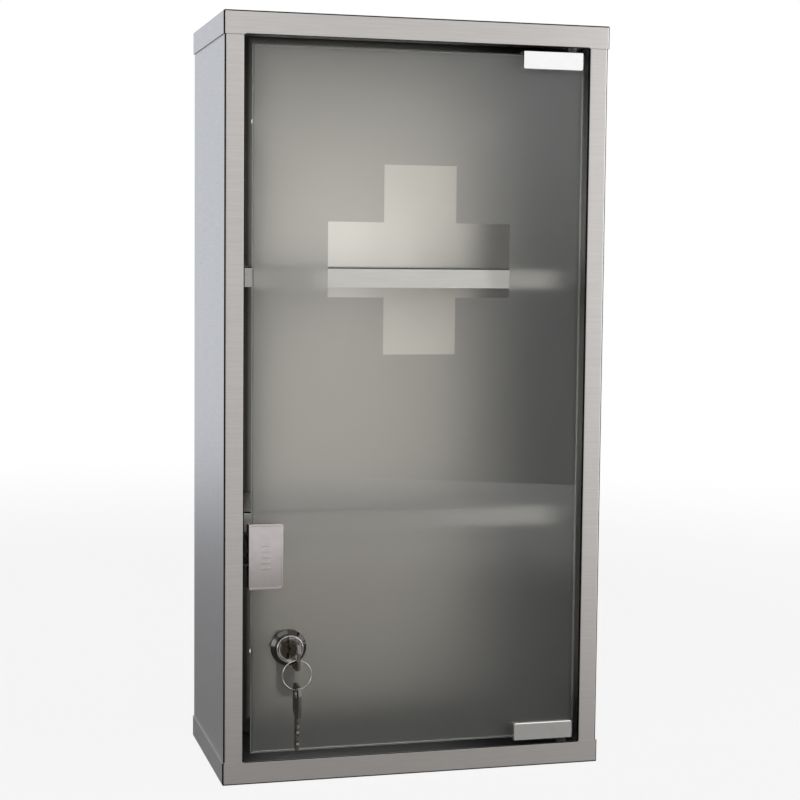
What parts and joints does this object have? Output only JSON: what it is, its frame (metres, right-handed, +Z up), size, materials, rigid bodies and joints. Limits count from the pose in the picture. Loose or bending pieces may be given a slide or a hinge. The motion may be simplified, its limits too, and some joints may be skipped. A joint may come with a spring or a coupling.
{
  "type": "lockable medicine cabinet",
  "caption": "Stainless steel wall cabinet for medicines with fixed shelves and a frosted glass door on corner pivots, held by a touch latch and a cam lock with keys on a ring.",
  "frame": {"origin": "middle of the base of the casing, on the surface it stands on", "axes": "+Z up, -Y out of the door, +Y towards the wall, +X to the hinged side as seen from the front"},
  "size_m": [0.302, 0.1913, 0.58],
  "materials": {
    "stainless_sheet": "satin, fine grain across the width",
    "rivet_alloy": "plain",
    "chrome_fittings": "polished",
    "nickel_keys": "nickel plated",
    "plated_steel": "zinc plated",
    "spring_steel": "drawn wire",
    "wafer_brass": "stamped",
    "ferrite": "ground",
    "frosted_glass": "front polished, back acid etched round a clear cross",
    "white_nylon": "moulded",
    "black_plastic": "moulded",
    "black_rubber": "matte"
  },
  "bodies": {
    "casing": {"left_side_panel": "stainless_sheet", "right_side_panel": "stainless_sheet", "back_panel": "stainless_sheet", "top_cap": "stainless_sheet", "bottom_cap": "stainless_sheet", "upper_shelf": "stainless_sheet", "lower_shelf": "stainless_sheet", "shelf_supports": "stainless_sheet", "shelf_rivets": "rivet_alloy", "panel_rivets": "rivet_alloy", "cap_rivets": "rivet_alloy", "top_pivot_plate": "stainless_sheet", "bottom_pivot_plate": "stainless_sheet", "top_pivot_bush": "black_plastic", "bottom_pivot_bush": "black_plastic", "latch_bracket": "stainless_sheet", "latch_housing": "white_nylon", "latch_end_plug": "black_plastic", "latch_screws": "plated_steel", "latch_spring": "spring_steel"},
    "plunger": {"latch_plunger": "black_plastic", "latch_tip": "plated_steel", "latch_magnet": "ferrite"},
    "door": {"door_glass": "frosted_glass", "top_hinge_clip": "chrome_fittings", "bottom_hinge_clip": "chrome_fittings", "top_clip_liner": "white_nylon", "bottom_clip_liner": "white_nylon", "top_clip_screws": "plated_steel", "bottom_clip_screws": "plated_steel", "top_pivot_pin": "plated_steel", "bottom_pivot_pin": "plated_steel", "pivot_washers": "black_plastic", "push_plate": "chrome_fittings", "push_plate_liner": "black_rubber", "lock_trim_ring": "chrome_fittings", "lock_gasket": "black_rubber", "lock_barrel": "chrome_fittings", "lock_rear_washer": "black_plastic", "lock_nut": "plated_steel"},
    "lock_core": {"lock_plug": "plated_steel", "lock_wafers": "wafer_brass", "wafer_springs": "spring_steel", "lock_cam": "plated_steel", "cam_washer": "plated_steel", "cam_nut": "plated_steel"},
    "lock_key": {"key": "nickel_keys"},
    "ring": {"key_ring": "nickel_keys"},
    "hanging_key": {"spare_key": "nickel_keys"}
  },
  "joints": [
    {"name": "door_swing", "type": "hinge", "parent": "casing", "child": "door", "pos_m": [0.1216, -0.0695, 0], "axis": [0, 0, 1], "range_deg": [0, 120]},
    {"name": "lock_turn", "type": "hinge", "parent": "door", "child": "lock_core", "pos_m": [-0.1, -0.0798, 0.1038], "axis": [0, 1, 0], "range_deg": [0, 90]},
    {"name": "key_pull", "type": "slide", "parent": "lock_core", "child": "lock_key", "axis": [0, -1, 0], "range_m": [0, 0.022]},
    {"name": "ring_swing", "type": "hinge", "parent": "lock_key", "child": "ring", "pos_m": [-0.1, -0.1053, 0.10081], "axis": [-1, 0, 0], "range_deg": [-15, 60]},
    {"name": "spare_key_swing", "type": "hinge", "parent": "ring", "child": "hanging_key", "pos_m": [-0.1, -0.1053, 0.07881], "axis": [-1, 0, 0], "range_deg": [-10, 60]},
    {"name": "latch_push", "type": "slide", "parent": "casing", "child": "plunger", "axis": [0, 1, 0], "range_m": [0, 0.003], "stiffness_N_per_m": 400, "springref_m": -0.005, "deforming": ["latch_spring"]}
  ]
}
